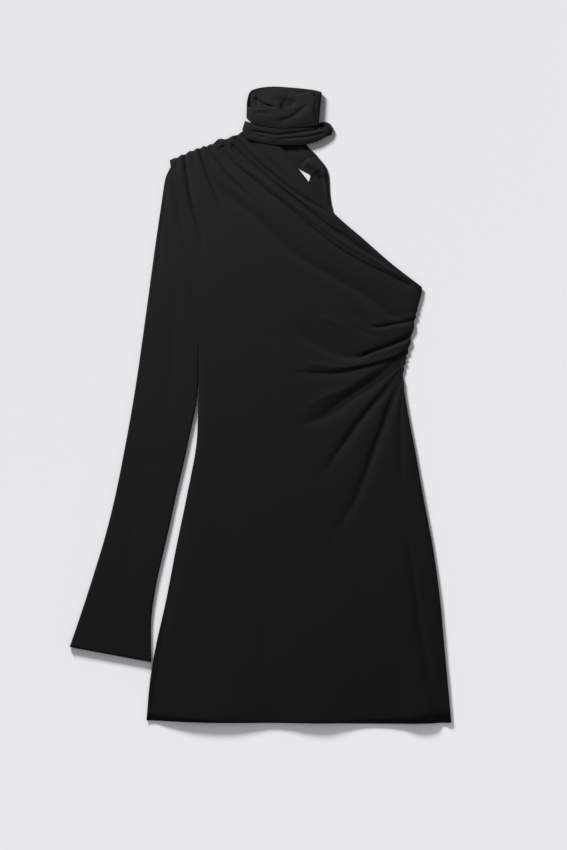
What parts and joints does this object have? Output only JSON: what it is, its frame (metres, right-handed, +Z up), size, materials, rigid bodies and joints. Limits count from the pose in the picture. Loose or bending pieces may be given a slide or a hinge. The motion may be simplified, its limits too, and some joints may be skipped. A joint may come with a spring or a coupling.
{
  "type": "one-shoulder dress",
  "caption": "Short one-shoulder dress of black jersey laid flat, with one long flared sleeve, a gathered shoulder and side, and a scarf collar wound round the neck.",
  "frame": {"origin": "centre of the bounding box at the height of the surface the dress lies on", "axes": "+X towards the bare shoulder's side, +Y towards the collar, +Z up from the surface"},
  "size_m": [0.5539, 0.925, 0.0153],
  "materials": {
    "back_panel_jersey": "soft matt black jersey",
    "front_panel_jersey": "soft matt black jersey",
    "sleeve_jersey": "soft matt black jersey",
    "scarf_lower_wrap_jersey": "soft matt black jersey",
    "scarf_upper_wrap_jersey": "soft matt black jersey",
    "scarf_inner_wrap_jersey": "soft matt black jersey",
    "scarf_tail_jersey": "soft matt black jersey"
  },
  "bodies": {
    "root": {"back_panel": "back_panel_jersey", "front_panel": "front_panel_jersey", "sleeve": "sleeve_jersey", "scarf_lower_wrap": "scarf_lower_wrap_jersey", "scarf_upper_wrap": "scarf_upper_wrap_jersey", "scarf_inner_wrap": "scarf_inner_wrap_jersey", "scarf_tail": "scarf_tail_jersey"}
  },
  "joints": []
}
